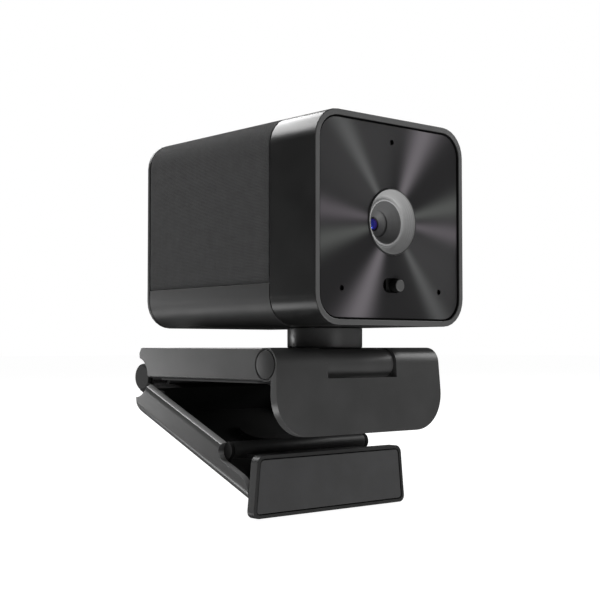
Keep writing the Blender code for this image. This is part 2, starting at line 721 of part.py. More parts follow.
def upper_arm():
    """A channel open below, hollowed round both hinge barrels."""
    low_front = math.degrees(math.asin((ARM_BOTTOM - FRONT_HINGE.z) / 5.3))
    top_front = math.degrees(math.asin((ARM_TOP - FRONT_HINGE.z) / 5.3))
    low_back = math.degrees(math.acos(-math.sqrt(REAR_NOTCH**2 - 0.2**2) / REAR_NOTCH))
    outline = at_front_hinge(5.3, low_front, top_front, 10)
    outline += arc((ARM_BACK - 2.0, ARM_TOP - 2.0), 2.0, 90, 0, 4)
    back = math.degrees(math.acos((ARM_BACK - 0.1 - REAR_HINGE.y) / REAR_NOTCH))
    outline += arc((REAR_HINGE.y, REAR_HINGE.z), REAR_NOTCH, back, low_back, 8)
    arm = sheet("upper_arm", [outline], ALONG_X, -ARM_HALF, ARM_HALF, CLIP)
    chamfer(arm, 0.35, angle=70)
    inner = ARM_HALF - ARM_WALL
    hollow = block("hollow", (-inner, -4.4, ARM_BOTTOM - 5), (inner, 47.6, CHANNEL_ROOF))
    cut(arm, hollow)
    web = block("web", (-13.6, FRONT_HINGE.y, 1.4), (13.6, -4.6, 9.4))
    barrel = rod("barrel", "X", FRONT_HINGE, CENTRE_KNUCKLE, -13.6, 13.6, 28)
    join(arm, web, barrel)
    rear_web = block("rear_web", (-KNUCKLE_HALF, 48.0, 0.9), (KNUCKLE_HALF, REAR_HINGE.y, 4.6))
    rear_barrel = rod("rear_barrel", "X", REAR_HINGE, REAR_KNUCKLE, -KNUCKLE_HALF, KNUCKLE_HALF, 28)
    join(arm, rear_web, rear_barrel)
    cut(arm, rod("front_bore", "X", FRONT_HINGE, PIN_BORE, -20, 20, 24))
    cut(arm, rod("rear_bore", "X", REAR_HINGE, PIN_BORE, -25, 25, 24))
    for x, y in BASE_SCREWS.values():
        boss = rod("boss", "Z", (x, y, 0), 2.4, BASE_TOP + SEAM, CHANNEL_ROOF + 0.5, 16)
        join(arm, boss)
        cut(arm, rod("boss_bore", "Z", (x, y, 0), 1.2, BASE_TOP - 1, CHANNEL_ROOF + 0.6, 12))
    cut(arm, rod("stem_hole", "Z", (0, 0, 0), THREAD_RADIUS + RUNNING, CHANNEL_ROOF - 1, ARM_TOP + 1, 24))
    return arm


BASE_TOP = ARM_BOTTOM + 1.8
BASE_SCREWS = {
    "front_left": (-22.0, 3.0),
    "front_right": (22.0, 3.0),
    "rear_left": (-22.0, 40.0),
    "rear_right": (22.0, 40.0),
}


def arm_base():
    """The plate that closes the channel, with the rubber pad under it."""
    inner = ARM_HALF - ARM_WALL - SEAM
    plate = rounded_box(-inner, inner, -4.4 + SEAM, 47.6 - SEAM, 1.0, 3)
    base = sheet("arm_base", [plate], ALONG_Z, ARM_BOTTOM, BASE_TOP, CLIP)
    for name, (x, y) in BASE_SCREWS.items():
        hole = rod("hole", "Z", (x, y, 0), 1.2, 0, 5, 12)
        cut(base, hole, rod("sink", "Z", (x, y, 0), 2.0, 0, ARM_BOTTOM + 0.9, 16))
        screw("base_screw_" + name, "Z", (x, y, 0), 7.6, ARM_BOTTOM + 0.75, ARM_BOTTOM + 0.1)
    pad = rounded_box(-ARM_HALF + 1.2, ARM_HALF - 1.2, -5.0, 46.4, 2.0, 4)
    sheet("arm_pad", [pad], ALONG_Z, 0.0, ARM_BOTTOM - 0.1, RUBBER)


def hinge_hardware():
    for name, centre, half in (("front_pin", FRONT_HINGE, 31.1), ("rear_pin", REAR_HINGE, EAR_OUTER - 0.9)):
        rod(name, "X", centre, PIN_RADIUS, -half, half, 24, STEEL)
    for side, name in ((-1, "left"), (1, "right")):
        ends = sorted((side * (KNUCKLE_HALF + GAP), side * 26.0))
        spacer = rod("rear_spacer_" + name, "X", REAR_HINGE, 2.7, *ends, 20, STEEL)
        cut(spacer, rod("spacer_bore", "X", REAR_HINGE, PIN_BORE, ends[0] - 1, ends[1] + 1, 24))
        ends = sorted((side * (LIP_HALF - 1.3), side * LIP_HALF))
        cap = rod("hinge_cap_" + name, "X", FRONT_HINGE, CAP_RADIUS, *ends, 40, CLIP)
        chamfer(cap, 0.15, angle=60)


CAP_RADIUS = 4.37


def leaned(obj):
    """Turns a piece of the lip about the front hinge to the angle at which the lip hangs."""
    there = Matrix.Translation(FRONT_HINGE * MM)
    obj.data.transform(there @ Matrix.Rotation(LIP_LEAN, 4, "X") @ there.inverted())
    return obj


def front_plate():
    """Two knuckles beside the upper arm's front barrel, and the flat lip below them."""
    face = FRONT_HINGE.y - LIP_REACH
    outline = [(LIP_HALF, FRONT_HINGE.z), (-LIP_HALF, FRONT_HINGE.z)]
    outline += arc((LIP_CORNER - LIP_HALF, LIP_BOTTOM + LIP_CORNER), LIP_CORNER, 180, 270, 14)
    outline += arc((LIP_HALF - LIP_CORNER, LIP_BOTTOM + LIP_CORNER), LIP_CORNER, 270, 360, 14)
    outline = flared(outline, LIP_FLARE, FRONT_HINGE.z)
    lip = sheet("front_plate", [outline], ALONG_Y, face, face + LIP_THICKNESS, CLIP)
    leaned(chamfer(lip, 0.5, angle=70, segments=2))
    window = block("window", (-CUTOUT_HALF, face - 4, 1.4), (CUTOUT_HALF, FRONT_HINGE.y + 8, 14))
    cut(lip, window)
    roll = at_front_hinge(LIP_KNUCKLE, -90, 90, 20)
    for i in range(1, 20):
        turn = math.radians(90 + 9 * i)
        point = (LIP_REACH * math.cos(turn), LIP_KNUCKLE * math.sin(turn))
        roll.append((FRONT_HINGE.y + point[0], FRONT_HINGE.z + point[1]))
    for side in (-1, 1):
        ends = sorted((side * CUTOUT_HALF, side * LIP_HALF))
        knuckle = sheet("knuckle", [roll], ALONG_X, *ends)
        join(lip, chamfer(knuckle, 0.15, angle=60))
    cut(lip, rod("bore", "X", FRONT_HINGE, PIN_BORE, -40, 40, 24))
    for side in (-1, 1):
        ends = sorted((side * (LIP_HALF - 1.6), side * (LIP_HALF + 1)))
        cut(lip, rod("counterbore", "X", FRONT_HINGE, CAP_RADIUS + 0.13, *ends, 40))
    return lip


def lip_pad():
    back = FRONT_HINGE.y - LIP_REACH + LIP_THICKNESS
    outline = rounded_box(-26, 26, LIP_BOTTOM + 3, LIP_BOTTOM + 13, 3.0, 4)
    return leaned(sheet("lip_pad", [outline], ALONG_Y, back + 0.1, back + 0.9, RUBBER))


# ---------------------------------------------------------------- clip: lower arm and foot


def lower_side():
    """Side outline in the arm's own frame, as (-along, up) points; it runs out below the underside."""
    notch_end = math.degrees(math.asin(LOWER_RIM / REAR_NOTCH))
    outline = arc((0, 0), REAR_NOTCH, 249, 180 - notch_end, 10)
    rim = math.degrees(math.asin((LOWER_RIM - NOTCH_UP) / FOOT_NOTCH))
    outline += arc((-NOTCH_ALONG, NOTCH_UP), FOOT_NOTCH, rim, -90, 8)
    outline += arc((-STEP_END, STEP_UP - 6.4), 6.4, 90, 165, 6)
    outline += [(-LOWER_LENGTH, -LOWER_DEPTH + 0.8), (-LOWER_LENGTH, -LOWER_DEPTH - 2), (-8.6, -LOWER_DEPTH - 2)]
    outline += arc((-8.2, -LOWER_DEPTH + 5.6), 5.7, 276, 340, 6)
    return outline


def lower_arm():
    """A channel, open above, with ears for the rear hinge and lugs for the foot's pin."""
    left = arc((LOWER_FILLET - ARM_HALF, LOWER_FILLET - LOWER_DEPTH), LOWER_FILLET, 180, 270, 6)
    right = arc((ARM_HALF - LOWER_FILLET, LOWER_FILLET - LOWER_DEPTH), LOWER_FILLET, 270, 360, 6)
    rim = ARM_HALF - 0.44
    section = [(rim, 20), (-rim, 20), (-rim, LOWER_RIM), (-ARM_HALF, -2.0)] + left + right
    section += [(ARM_HALF, -2.0), (rim, LOWER_RIM)]
    arm = sheet("lower_arm", [section], ALONG_Y, -80, 20, CLIP)
    combine(arm, sheet("side", [lower_side()], ALONG_X, -ARM_HALF - 3, ARM_HALF + 3), "INTERSECT")
    inner = ARM_HALF - ARM_WALL
    hollow = rounded_box(-inner, inner, -LOWER_DEPTH + ARM_WALL, 21, LOWER_FILLET - ARM_WALL + 0.6, 4)
    cut(arm, sheet("hollow", [hollow], ALONG_Y, -81, -9.5))
    for side in (-1, 1):
        ends = sorted((side * EAR_INNER, side * EAR_OUTER))
        ear = rod("ear", "X", (0, 0, 0), REAR_KNUCKLE, *ends, 32)
        join(arm, chamfer(ear, 0.8, angle=60, segments=3))
        join(arm, block("ear_arm", (ends[0] + 0.05, -12.0, -4.3), (ends[1] - 0.05, -0.5, -0.2)))
        far = sorted((side * EAR_INNER, side * (EAR_OUTER + 0.8)))
        join(arm, block("ear_root", (far[0], -14.0, -6.0), (far[1], -7.2, -0.6)))
        ends = sorted((side * LUG_INNER, side * EAR_OUTER))
        join(arm, rod("lug", "X", (0, -FOOT_ALONG, FOOT_UP), FOOT_BARREL, *ends, 24))
        low = (ends[0], -FOOT_ALONG - 1.7, -LOWER_DEPTH + 1.0)
        join(arm, block("lug_leg", low, (ends[1], -FOOT_ALONG + 1.7, FOOT_UP)))
        far = sorted((side * LUG_INNER, side * (EAR_OUTER + 0.8)))
        low = (far[0], -FOOT_ALONG - 1.6, -LOWER_DEPTH + 1.1)
        join(arm, block("lug_root", low, (far[1], -FOOT_ALONG + 1.6, -5.4)))
    pin_end = EAR_OUTER - 0.6
    cut(arm, rod("rear_bore", "X", (0, 0, 0), PIN_BORE, -pin_end, pin_end, 24))
    at = (0, -FOOT_ALONG, FOOT_UP)
    cut(arm, rod("foot_bore", "X", at, FOOT_PIN + RUNNING, 0.3 - EAR_OUTER, EAR_OUTER - 0.3, 20))
    at = (0, -INSERT_ALONG, 0)
    join(arm, rod("boss", "Z", at, 6.2, -LOWER_DEPTH + 1, -6.4, 28))
    cut(arm, rod("insert_hole", "Z", at, 4.7, -LOWER_DEPTH - 1, -7.0, 24))
    profile = [(3.1, -LOWER_DEPTH + 0.2), (4.5, -LOWER_DEPTH + 0.2), (4.5, -7.2), (3.1, -7.2)]
    insert = turned("tripod_insert", profile, "Z", at, 24, BRASS)
    foot_at = (0, -FOOT_ALONG, FOOT_UP)
    pin = rod("foot_pin", "X", foot_at, FOOT_PIN, 0.6 - EAR_OUTER, EAR_OUTER - 0.6, 20, STEEL)
    frame = axis_frame("lower_arm_axis", REAR_HINGE, Matrix.Rotation(ARM_ANGLE, 3, "X"))
    carry(frame, arm, insert, pin)


def foot():
    top, low = FOOT_TOP, FOOT_TOP - FOOT_HEIGHT
    outline = flared(rounded_box(-FOOT_HALF, FOOT_HALF, low, top, FOOT_CORNER, 6), FOOT_FLARE, top)
    plate = sheet("foot_plate", [outline], ALONG_Y, FOOT_FACE, FOOT_FACE + FOOT_THICKNESS, CLIP)
    chamfer(plate, 0.6, angle=70, segments=3)
    inset = PAD_BORDER
    recess = rounded_box(-FOOT_HALF + inset, FOOT_HALF - inset, low + inset, top - inset, 1.4, 5)
    recess = flared(recess, FOOT_FLARE, top)
    cut(plate, sheet("recess", [recess], ALONG_Y, FOOT_FACE - 1, FOOT_FACE + 1.4))
    half = LUG_INNER - GAP
    back = FOOT_FACE + FOOT_THICKNESS - 0.5
    barrel = rod("barrel", "X", (0, 0, 0), FOOT_BARREL, -half, half, 28)
    web = block("web", (-22, back, -2.5), (22, 0, -1.3))
    ribs = [block("rib", (x - 1, back, -9), (x + 1, -9, -2)) for x in (-18, 0, 18)]
    join(plate, barrel, web, *ribs)
    cut(plate, rod("bore", "X", (0, 0, 0), FOOT_PIN + RUNNING, -30, 30, 20))
    inset += 0.3
    pad_outline = rounded_box(-FOOT_HALF + inset, FOOT_HALF - inset, low + inset, top - inset, 1.1, 5)
    pad_outline = flared(pad_outline, FOOT_FLARE, top)
    pad = sheet("foot_pad", [pad_outline], ALONG_Y, FOOT_FACE + 0.1, FOOT_FACE + 1.1, RUBBER)
    frame = axis_frame("foot_axis", FOOT_HINGE, Matrix.Identity(3))
    carry(frame, plate, pad)


def build():
    front_hood()
    lower_shell()
    fabric_cover()
    inner_shell()
    rear_cover()
    cover_screws()
    face_panel()
    microphones()
    lens_funnel()
    lens_cone()
    lens_barrel()
    front_lens()
    lens_holder()
    sensor_stack()
    inner_frame()
    shutter_knob()
    shutter_blade()
    shutter_pivot()
    main_board()
    heat_sink()
    ribbon_cable()
    usb_inlet()
    pan_parts()
    upper_arm()
    arm_base()
    hinge_hardware()
    front_plate()
    lip_pad()
    lower_arm()
    foot()


build()
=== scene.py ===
import json
import math

import bmesh
import bpy
from mathutils import Matrix, Vector


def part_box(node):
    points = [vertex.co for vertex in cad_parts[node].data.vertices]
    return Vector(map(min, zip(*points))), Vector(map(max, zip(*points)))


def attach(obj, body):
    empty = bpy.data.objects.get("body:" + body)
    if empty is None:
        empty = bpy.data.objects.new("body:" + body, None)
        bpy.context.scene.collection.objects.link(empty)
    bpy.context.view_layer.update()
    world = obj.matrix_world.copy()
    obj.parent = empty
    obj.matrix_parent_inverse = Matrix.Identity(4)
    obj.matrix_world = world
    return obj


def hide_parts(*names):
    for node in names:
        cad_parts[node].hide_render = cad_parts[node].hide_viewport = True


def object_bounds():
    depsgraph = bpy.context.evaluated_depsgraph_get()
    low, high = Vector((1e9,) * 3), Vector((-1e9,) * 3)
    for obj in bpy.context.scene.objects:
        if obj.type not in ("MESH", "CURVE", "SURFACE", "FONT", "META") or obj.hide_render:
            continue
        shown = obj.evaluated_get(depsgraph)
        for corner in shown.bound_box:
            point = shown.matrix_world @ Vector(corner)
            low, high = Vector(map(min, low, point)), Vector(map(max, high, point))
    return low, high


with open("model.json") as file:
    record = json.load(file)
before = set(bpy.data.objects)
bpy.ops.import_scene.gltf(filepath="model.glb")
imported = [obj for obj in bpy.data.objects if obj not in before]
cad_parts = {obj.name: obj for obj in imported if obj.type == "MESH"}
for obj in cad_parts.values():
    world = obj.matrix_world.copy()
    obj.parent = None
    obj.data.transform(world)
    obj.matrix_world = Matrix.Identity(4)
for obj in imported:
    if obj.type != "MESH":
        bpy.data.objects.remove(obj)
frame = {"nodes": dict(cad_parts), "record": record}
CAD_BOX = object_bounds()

MM = 0.001
NODES = frame["nodes"]
RECORD = frame["record"]
BODY = {
    node: body
    for body, members in RECORD["behaviour"]["bodies"].items()
    for node in members
}
SLOT = {row["node"]: row["material_slot"] for row in RECORD["subparts"]}

# Places and sizes, in mm. The front of the object looks towards -y.
LENS = (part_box("lens_funnel")[0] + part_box("lens_funnel")[1]) / 2 / MM
RIM_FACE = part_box("front_hood")[0].y / MM
PANEL_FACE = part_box("face_panel")[0].y / MM
KNOB_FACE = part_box("shutter_knob")[0].y / MM
EDGE_RADIUS = 8.55  # of the head's long edges
NECK_BORE = 4.08  # radius
ARM_SLOPE = math.radians(22.2)  # of the lower arm, down towards the front
CHANNEL_HALF = 28.1  # from the middle to the inside of the lower arm's walls
RIM_CHAMFER = 1.0  # on the long top edges of the lower arm


# ---------------------------------------------------------------- shader helpers


def grey(value, tint=(1.0, 1.0, 1.0)):
    return (value * tint[0], value * tint[1], value * tint[2], 1.0)


class Tree:
    """A material's nodes, with short ways to add and join them."""

    def __init__(self, name):
        self.material = bpy.data.materials.new(name)
        self.material.use_nodes = True
        self.nodes = self.material.node_tree.nodes
        self.links = self.material.node_tree.links
        self.shader = self.nodes["Principled BSDF"]

    def add(self, kind, inputs=None, **settings):
        made = self.nodes.new("ShaderNode" + kind)
        for key, value in settings.items():
            setattr(made, key, value)
        for key, value in (inputs or {}).items():
            self.put(made, key, value)
        return made

    def put(self, node, key, value):
        if isinstance(value, bpy.types.NodeSocket):
            self.links.new(value, node.inputs[key])
        elif isinstance(value, bpy.types.Node):
            self.links.new(value.outputs[0], node.inputs[key])
        else:
            node.inputs[key].default_value = value

    def set(self, **inputs):
        for key, value in inputs.items():
            self.put(self.shader, key.replace("_", " "), value)

    # numbers

    def math(self, operation, a, b=0.0):
        return self.add("Math", {0: a, 1: b}, operation=operation).outputs[0]

    def plus(self, a, b):
        return self.math("ADD", a, b)

    def minus(self, a, b):
        return self.math("SUBTRACT", a, b)

    def times(self, a, b):
        return self.math("MULTIPLY", a, b)

    def ramp(self, value, low, high, out_low=0.0, out_high=1.0):
        ends = {"From Min": low, "From Max": high, "To Min": out_low, "To Max": out_high}
        return self.add("MapRange", {"Value": value, **ends}).outputs[0]

    def spread(self, noise, out_low=0.0, out_high=1.0):
        """Stretches the range where most of a noise's values lie."""
        return self.ramp(noise, 0.3, 0.7, out_low, out_high)

    # places

    def place(self):
        return self.add("TexCoord").outputs["Object"]

    def split(self, vector=None):
        return self.add("SeparateXYZ", {0: vector or self.place()}).outputs

    def round_lens(self):
        """The distance from the lens's axis, and the angle round it."""
        x, _, z = self.split()
        z = self.minus(z, LENS.z * MM)
        radius = self.math("SQRT", self.plus(self.times(x, x), self.times(z, z)))
        return radius, self.math("ARCTAN2", z, x)

    def behind(self, face, start, end):
        """Goes from 0 to 1 between two depths behind a face, in mm."""
        return self.ramp(self.split()[1], (face + start) * MM, (face + end) * MM)

    # patterns

    def noise(self, scale, detail=2.0, rough=0.5, stretch=None):
        vector = self.place()
        if stretch:
            vector = self.add("Mapping", {"Vector": vector, "Scale": stretch})
        inputs = {"Vector": vector, "Scale": scale, "Detail": detail, "Roughness": rough}
        return self.add("TexNoise", inputs).outputs["Fac"]

    def grain(self, size):
        """The fine skin of a spark-eroded mould, its size in mm."""
        return self.noise(1 / (size * MM), 3.0, 0.6)

    def cloud(self):
        return self.noise(90.0, 3.0)

    def turned(self, radius, scale, detail):
        """The marks of a lathe's tool, as a noise along the radius."""
        inputs = {"W": self.times(radius, scale), "Detail": detail}
        return self.add("TexNoise", inputs, noise_dimensions="1D").outputs["Fac"]

    # colours and surface

    def blend(self, amount, start, end):
        made = self.add("Mix", data_type="RGBA")
        self.put(made, 0, amount)
        self.put(made, 6, start)
        self.put(made, 7, end)
        return made.outputs[2]

    def shades(self, noise, dark, light):
        return self.blend(self.spread(noise), dark, light)

    def bump(self, height, depth, strength, under=None):
        """Relief of a depth in mm, over that of another bump if there is one."""
        inputs = {"Height": height, "Distance": depth * MM, "Strength": strength}
        if under is not None:
            inputs["Normal"] = under
        return self.add("Bump", inputs).outputs[0]


# ---------------------------------------------------------------- materials


def moulded(name, shade, rough, grain, depth, specular=0.5):
    """Moulded plastic: fine grain, slight cloudiness in its colour, faint handling marks."""
    t = Tree(name)
    rubbed = t.noise(420.0, 2.0, 0.4, stretch=(1.0, 0.25, 1.0))
    t.set(
        Base_Color=t.shades(t.cloud(), grey(shade * 0.88), grey(shade * 1.12)),
        Roughness=t.ramp(rubbed, 0.35, 0.65, rough - 0.01, rough + 0.015),
        Specular_IOR_Level=specular,
        Normal=t.bump(t.grain(grain), depth, 0.9),
    )
    return t.material


def hood_finish(name):
    """The hood's plastic, with the lighter satin of the rim's front face."""
    t = Tree(name)
    cloud = t.cloud()
    face = t.shades(cloud, grey(0.078), grey(0.090))
    body = t.shades(cloud, grey(0.006), grey(0.008))
    t.set(
        Base_Color=t.blend(t.behind(RIM_FACE, 0.02, 0.22), face, body),
        Roughness=t.spread(cloud, 0.29, 0.33),
        Specular_IOR_Level=0.30,
        Normal=t.bump(t.grain(0.13), 0.006, 0.8),
    )
    return t.material


def knob_with_painted_shade(name):
    """Grey on the knob's face, with painted shade, near black, down its sides and inside the
    slot.
    """
    t = Tree(name)
    grain = t.grain(0.125)
    # Painted shade: near black from 0.3 mm behind the knob's face.
    painted_shade_depth = t.behind(KNOB_FACE, 0.12, 0.30)
    face = t.blend(grain, grey(0.068), grey(0.082))
    t.set(
        Base_Color=t.blend(painted_shade_depth, face, grey(0.004)),
        Roughness=t.ramp(painted_shade_depth, 0.0, 1.0, 0.4, 0.6),
        Specular_IOR_Level=0.3,
        Normal=t.bump(grain, 0.006, 0.8),
    )
    return t.material


def channel_with_painted_light(name):
    """The clip's plastic: dull inside the channel with painted shade there, and a painted
    highlight on the arm's upper edges.
    """
    t = Tree(name)
    x = t.math("ABSOLUTE", t.split()[0])
    # Painted shade: near black within the inner faces of the walls, so inside the channel.
    outside = t.ramp(x, (CHANNEL_HALF - 0.1) * MM, (CHANNEL_HALF + 0.1) * MM)
    # Painted highlight: faces turned up along the arm are made much lighter.
    upward = (0.0, -math.sin(ARM_SLOPE), math.cos(ARM_SLOPE))
    normal = t.add("TexCoord").outputs["Normal"]
    painted_highlight_facing = t.add("VectorMath", {0: normal, 1: upward}, operation="DOT_PRODUCT")
    skin = t.shades(t.cloud(), grey(0.041), grey(0.051))
    skin = t.blend(t.ramp(painted_highlight_facing.outputs["Value"], 0.3, 0.6), skin, grey(0.23))
    t.set(
        Base_Color=t.blend(outside, grey(0.004), skin),
        Roughness=t.ramp(outside, 0.0, 1.0, 0.85, 0.30),
        Specular_IOR_Level=0.45,
        Normal=t.bump(t.grain(0.15), 0.006, 0.9),
    )
    return t.material


def woven(name):
    """Plain weave from the cloth's own coordinates, one unit to a thread, in mottled yarn, with
    painted shade between the threads.
    """
    t = Tree(name)
    u, v, _ = t.split(t.add("UVMap", uv_map="threads").outputs[0])
    wander = t.times(t.noise(260.0, 2.0), 0.35)
    u, v = t.plus(u, wander), t.plus(v, wander)
    cell_u, cell_v = t.math("FLOOR", u), t.math("FLOOR", v)
    over = t.math("FLOORED_MODULO", t.plus(cell_u, cell_v), 2.0)

    def choose(warp, weft):
        return t.plus(t.times(warp, over), t.times(weft, t.minus(1.0, over)))

    def arch(along):
        return t.math("SINE", t.times(t.math("FRACT", along), math.pi))

    def thread(across, along):
        return t.times(across, t.math("POWER", along, 0.4))

    def own_tone(cell):
        return t.add("TexWhiteNoise", {"W": cell}, noise_dimensions="1D").outputs["Value"]

    arch_u, arch_v = arch(u), arch(v)
    height = choose(thread(arch_u, arch_v), thread(arch_v, arch_u))
    yarn = choose(own_tone(cell_u), own_tone(cell_v))
    fleck = t.noise(2600.0, 3.0, 0.7)
    mottle = t.noise(300.0, 3.0, 0.65)
    tone = t.plus(t.plus(t.times(yarn, 0.12), t.times(fleck, 0.5)), t.times(mottle, 0.38))
    yarns = t.blend(t.ramp(tone, 0.25, 0.75), grey(0.013), grey(0.050, (1.0, 1.0, 1.02)))
    t.set(
        # Painted shade: the colour goes near black down the threads' sides and between them.
        Base_Color=t.blend(t.ramp(height, 0.0, 0.7), grey(0.008), yarns),
        Roughness=t.ramp(fleck, 0.2, 0.8, 0.82, 0.98),
        Specular_IOR_Level=0.25,
        Sheen_Weight=0.2,
        Sheen_Roughness=0.45,
        Sheen_Tint=grey(0.5),
        Normal=t.bump(height, 0.11, 1.0, under=t.bump(fleck, 0.03, 0.6)),
    )
    return t.material


# The face's painted highlights, streaks as turned metal catches light: angle in degrees,
# narrowness, colour, strength.
PAINTED_STREAKS = (
    (63, 16, (0.20, 0.185, 0.20, 1.0), 0.9),
    (126, 42, (0.10, 0.102, 0.102, 1.0), 0.8),
    (14, 30, (0.115, 0.12, 0.115, 1.0), 0.8),
    (-4, 34, (0.12, 0.108, 0.12, 1.0), 0.8),
)


def spun(name):
    """Dark anodised metal turned about the lens: fine rings, painted highlight streaks that go
    with the angle, and painted shade behind its face.
    """
    t = Tree(name)
    radius, angle = t.round_lens()
    rings = t.turned(radius, 9000.0, 3.0)
    lines = t.turned(radius, 2600.0, 1.0)
    colour = t.shades(rings, grey(0.019), grey(0.027, (1.02, 0.98, 1.05)))
    # Painted highlights: lighter streaks at set angles round the lens.
    for middle, narrowness, tint, strength in PAINTED_STREAKS:
        facing = t.math("COSINE", t.minus(t.times(angle, 2.0), 2 * math.radians(middle)))
        painted_streak = t.math("POWER", t.math("MAXIMUM", facing, 0.0), narrowness)
        colour = t.blend(t.times(painted_streak, strength), colour, tint)
    # Painted shade: near black on every face of the panel behind its front, such as the wall of
    # its hole.
    painted_shade_behind_face = t.behind(PANEL_FACE, 0.04, 0.08)
    t.set(
        Base_Color=t.blend(painted_shade_behind_face, colour, grey(0.003)),
        Metallic=0.25,
        Roughness=t.spread(lines, 0.30, 0.38),
        Specular_IOR_Level=0.25,
        Anisotropic=0.85,
        Tangent=t.add("Tangent", direction_type="RADIAL", axis="Y"),
        Normal=t.bump(rings, 0.004, 0.5),
    )
    return t.material


TOOL_SCALE = 3000.0  # of the marks on the lens's ring and dish
BOWL_LIP = 9.24  # radius outside which the bowl's lip is painted dark as shade, in mm
DISH_HOLE = 2.05  # radius inside which the dish is black, in mm


def bezel(name):
    """Pale satin-anodised bowl, turned fine, darker in the tool's marks, with painted shade on
    its outer lip.
    """
    t = Tree(name)
    radius, _ = t.round_lens()
    mark = t.turned(radius, TOOL_SCALE, 1.0)
    # Painted shade: the outer lip goes dark.
    lip = t.ramp(radius, BOWL_LIP * MM, (BOWL_LIP + 0.1) * MM)
    t.set(
        Base_Color=t.blend(lip, t.shades(mark, grey(0.34), grey(0.54)), grey(0.03)),
        Metallic=0.35,
        Roughness=t.spread(mark, 0.46, 0.56),
        Normal=t.bump(mark, 0.02, 0.8),
    )
    return t.material


def dish(name):
    """Dark satin dish behind the bowl, turned, and black close round the lens."""
    t = Tree(name)
    radius, _ = t.round_lens()
    mark = t.turned(radius, TOOL_SCALE, 1.0)
    outside = t.ramp(radius, DISH_HOLE * MM, (DISH_HOLE + 0.1) * MM)
    t.set(
        Base_Color=t.blend(outside, grey(0.006), t.shades(mark, grey(0.085), grey(0.135))),
        Roughness=t.spread(mark, 0.42, 0.5),
        Specular_IOR_Level=0.4,
        Normal=t.bump(mark, 0.005, 0.6),
    )
    return t.material


def coated_glass(name):
    """A lens front: polished and dark, its coating blue to violet across the dome."""
    t = Tree(name)
    facing = t.add("LayerWeight", {"Blend": 0.4}).outputs["Facing"]
    t.set(
        Base_Color=t.blend(facing, (0.03, 0.12, 0.95, 1.0), (0.34, 0.05, 0.50, 1.0)),
        Metallic=0.85,
        Roughness=t.spread(t.noise(700.0, 2.0), 0.07, 0.12),
    )
    return t.material


def plain_metal(name, shade, rough, tint, mark_scale, depth):
    """Bare metal with drawn-out tool marks and a slight cloudiness."""
    t = Tree(name)
    mark = t.noise(mark_scale, 2.0, 0.6, stretch=(1.0, 0.15, 1.0))
    cloud = t.noise(160.0, 2.0)
    t.set(
        Base_Color=t.shades(cloud, grey(shade * 0.93, tint), grey(shade * 1.06, tint)),
        Metallic=1.0,
        Roughness=t.spread(mark, rough - 0.04, rough + 0.06),
        Normal=t.bump(mark, depth, 0.7),
    )
    return t.material


def rubber(name, shade):
    """Matt elastomer: a close pitted skin, greyer where it is dusty."""
    t = Tree(name)
    dust = t.noise(130.0, 4.0, 0.6)
    clean, dusty = grey(shade * 0.9), grey(shade * 1.15, (1.0, 1.0, 1.03))
    t.set(
        Base_Color=t.blend(t.ramp(dust, 0.35, 0.75), clean, dusty),
        Roughness=t.spread(dust, 0.74, 0.88),
        Specular_IOR_Level=0.3,
        Normal=t.bump(t.noise(5200.0, 2.0, 0.6), 0.015, 0.7),
    )
    return t.material


def circuit(name):
    """Green resist over copper: a lighter pattern of tracks on a mottled ground."""
    t = Tree(name)
    pattern = {"Vector": t.place(), "Scale": 260.0, "Mortar Size": 0.04}
    tones = {"Color1": grey(0.0), "Color2": grey(0.2), "Mortar": grey(1.0)}
    tracks = t.add("TexBrick", {**pattern, **tones}).outputs[0]
    ground = t.noise(3000.0, 2.0)
    tone = t.plus(t.times(tracks, 0.6), t.times(ground, 0.3))
    t.set(
        Base_Color=t.blend(tone, (0.008, 0.06, 0.025, 1.0), (0.03, 0.16, 0.06, 1.0)),
        Roughness=t.spread(ground, 0.3, 0.45),
        Normal=t.bump(tracks, 0.02, 0.5),
    )
    return t.material


COOL = (1.0, 1.0, 1.02)
BRASS = (1.0, 0.74, 0.38)

FINISH = {
    "hood_plastic": moulded("hood_plastic_fine", 0.010, rough=0.46, grain=0.13, depth=0.006),
    "cloth": woven("cloth_fine"),
    "panel_metal": spun("panel_metal_fine"),
    "bezel_metal": bezel("bezel_metal_fine"),
    "dish_plastic": dish("dish_plastic_fine"),
    "lens_glass": coated_glass("lens_glass_fine"),
    "knob_plastic": knob_with_painted_shade("knob_plastic_fine"),
    "inner_plastic": moulded("inner_plastic_fine", 0.012, rough=0.5, grain=0.2, depth=0.01),
    "clip_plastic": moulded("clip_plastic_fine", 0.042, rough=0.30, grain=0.15, depth=0.004),
    "pad_rubber": rubber("pad_rubber_fine", 0.042),
    "steel": plain_metal("steel_fine", 0.55, 0.3, COOL, mark_scale=2400.0, depth=0.004),
    "board": circuit("board_fine"),
    "sink_aluminium": plain_metal(
        "sink_aluminium_fine", 0.7, 0.42, COOL, mark_scale=900.0, depth=0.01
    ),
    "insert_brass": plain_metal(
        "insert_brass_fine", 0.6, 0.32, BRASS, mark_scale=1800.0, depth=0.005
    ),
}

# Three pieces look different from the rest of their slot.
HOOD = hood_finish("hood_rim_fine")
FOOT = moulded(
    "foot_plastic_fine", 0.022, rough=0.40, grain=0.15, depth=0.006, specular=0.3
)
CHANNEL = channel_with_painted_light("channel_painted_light_fine")
SPECIAL = {"front_hood": HOOD, "foot_plate": FOOT, "lower_arm": CHANNEL}

for node, obj in NODES.items():
    for holder in obj.material_slots:
        holder.material = FINISH[SLOT[node]]


# ---------------------------------------------------------------- shape helpers


def make_mesh(name, work):
    """Turns a bmesh into a mesh, and frees it."""
    mesh = bpy.data.meshes.new(name)
    work.to_mesh(mesh)
    work.free()
    return mesh


